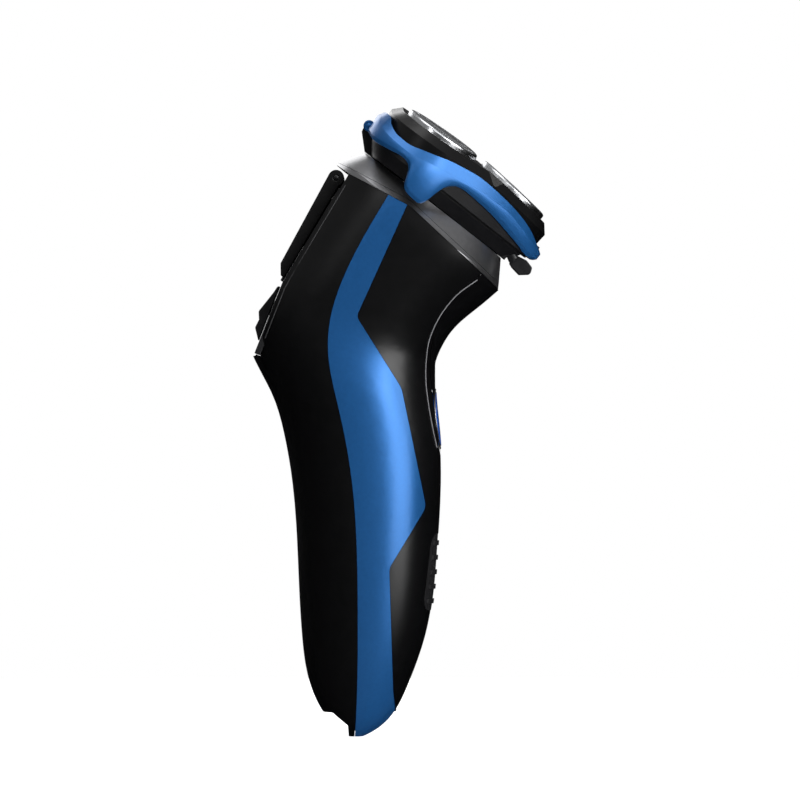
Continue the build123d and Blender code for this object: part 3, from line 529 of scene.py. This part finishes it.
# ------------------------------------------------------------------ guides on both sides of the release tab
GUIDE_OUTLINE = [(24.3, -13.0), (26.4, -13.9), (27.3, -14.3), (27.2, -16.2), (26.2, -16.3), (24.3, -15.2)]
GUIDE_ROUND = [0, 0.3, 0.4, 0.4, 0.3, 0]
GUIDE_SECTION = ((0.0, 6.4), (0.88, 6.4), (1.0, 6.52), (1.0, 7.08), (0.88, 7.2), (0.0, 7.2))
guide_points = [Vector(point) for point in rounded_line(GUIDE_OUTLINE, GUIDE_ROUND, 4)]
guide_middle = sum(guide_points, Vector((0, 0))) / len(guide_points)
for side, label in SIDES:
    guide_rows = []
    for share, y in GUIDE_SECTION:
        spots = [guide_middle.lerp(point, share) for point in guide_points]
        guide_rows.append([HEAD @ Vector((spot.x, side * y, spot.y)) for spot in spots])
    new_object(f"tab_guide_{label}", grid_mesh(f"tab_guide_{label}", guide_rows), "handle", "satin_black")

# ------------------------------------------------------------------ softened edges on the flat-sided pieces
for name in ("trimmer_cover", "trimmer_slide", "trimmer_frame", "release_tab", "charging_socket"):
    piece = frame["nodes"][name]
    weld = piece.modifiers.new("weld", "WELD")
    weld.merge_threshold = 0.002 * MM
    flat = piece.modifiers.new("flat", "DECIMATE")
    flat.decimate_type = "DISSOLVE"
    flat.angle_limit = radians(1.5)
    soft = piece.modifiers.new("soft", "BEVEL")
    soft.width = 0.22 * MM
    soft.segments = 2
    soft.limit_method = "ANGLE"
    soft.angle_limit = radians(35)
    soft.use_clamp_overlap = True

# ------------------------------------------------------------------ floor, light and camera
FLOOR_RADIUS = 0.6
floor_mesh = bpy.data.meshes.new("studio_floor")
rim = [(FLOOR_RADIUS * cos(2 * pi * k / 96), FLOOR_RADIUS * sin(2 * pi * k / 96), 0.0) for k in range(96)]
floor_mesh.from_pydata(rim, [], [tuple(range(96))])
floor = bpy.data.objects.new("studio_floor", floor_mesh)
bpy.context.scene.collection.objects.link(floor)
paper = material("studio_paper", (0.92, 0.92, 0.92), 0.7, grain=60.0, tint=0.01)
glow = paper.node_tree.nodes["Principled BSDF"]
glow.inputs["Emission Color"].default_value = (1, 1, 1, 1)
glow.inputs["Emission Strength"].default_value = 0.9
floor.data.materials.append(paper)
floor.visible_glossy = False

# White to the camera; to every other ray dark below the horizon and paler towards the top
world = bpy.data.worlds.new("studio")
bpy.context.scene.world = world
world.use_nodes = True
sky, wires = world.node_tree.nodes, world.node_tree.links
place = sky.new("ShaderNodeTexCoord")
axes = sky.new("ShaderNodeSeparateXYZ")
wires.new(place.outputs["Generated"], axes.inputs["Vector"])
fade = sky.new("ShaderNodeValToRGB")
fade.color_ramp.interpolation = "EASE"
for element, (position, level) in zip(fade.color_ramp.elements, ((0.50, 0.0), (0.97, 0.40))):
    element.position = position
    element.color = (level, level, level, 1)
middle = sky.new("ShaderNodeMath")
middle.operation = "MULTIPLY_ADD"
middle.inputs[1].default_value = 0.5
middle.inputs[2].default_value = 0.5
wires.new(axes.outputs["Z"], middle.inputs[0])
wires.new(middle.outputs["Value"], fade.inputs["Fac"])
path = sky.new("ShaderNodeLightPath")
choose = sky.new("ShaderNodeMix")
choose.data_type = "RGBA"
wires.new(path.outputs["Is Camera Ray"], choose.inputs["Factor"])
wires.new(fade.outputs["Color"], choose.inputs[6])
choose.inputs[7].default_value = (1, 1, 1, 1)
wires.new(choose.outputs[2], sky["Background"].inputs["Color"])


def area_light(name, place, target, size, power):
    """Soft rectangular light aimed at a point."""
    data = bpy.data.lights.new(name, "AREA")
    data.shape = "RECTANGLE"
    data.size, data.size_y = size
    data.energy = power
    obj = bpy.data.objects.new(name, data)
    bpy.context.scene.collection.objects.link(obj)
    obj.location = place
    obj.rotation_mode = "QUATERNION"
    obj.rotation_quaternion = (Vector(target) - Vector(place)).to_track_quat("-Z", "Y")
    obj.visible_camera = False


area_light("front_strip", (0.66, -0.52, 0.10), (0, 0, 0.09), (0.55, 0.45), 4.2)
area_light("head_key", (0.40, -0.62, 0.30), (0.015, 0, 0.145), (0.25, 0.20), 2.2)
area_light("top", (-0.05, -0.15, 0.70), (0.0, 0, 0.14), (0.4, 0.4), 1.6)
area_light("side_fill", (0.10, -0.75, 0.62), (0, 0, 0.09), (0.5, 0.3), 1.0)
area_light("back_rim", (-0.30, -0.60, 0.42), (-0.01, 0, 0.15), (0.06, 0.08), 0.25)
area_light("far_fill", (-0.30, 0.75, 0.45), (0, 0, 0.09), (0.6, 0.5), 2.2)

lens = bpy.data.cameras.new("camera")
lens.lens = 500
lens.sensor_width = 36
lens.clip_start, lens.clip_end = 0.01, 20
camera = bpy.data.objects.new("camera", lens)
bpy.context.scene.collection.objects.link(camera)
AIM = Vector((0.0004, 0, 0.0878))
CAMERA_DISTANCE = 2.911
camera.location = AIM - Vector((0, CAMERA_DISTANCE, 0))
camera.rotation_euler = (radians(90), 0, 0)
bpy.context.scene.camera = camera
bpy.context.scene.view_settings.view_transform = "Standard"

bpy.context.view_layer.update()
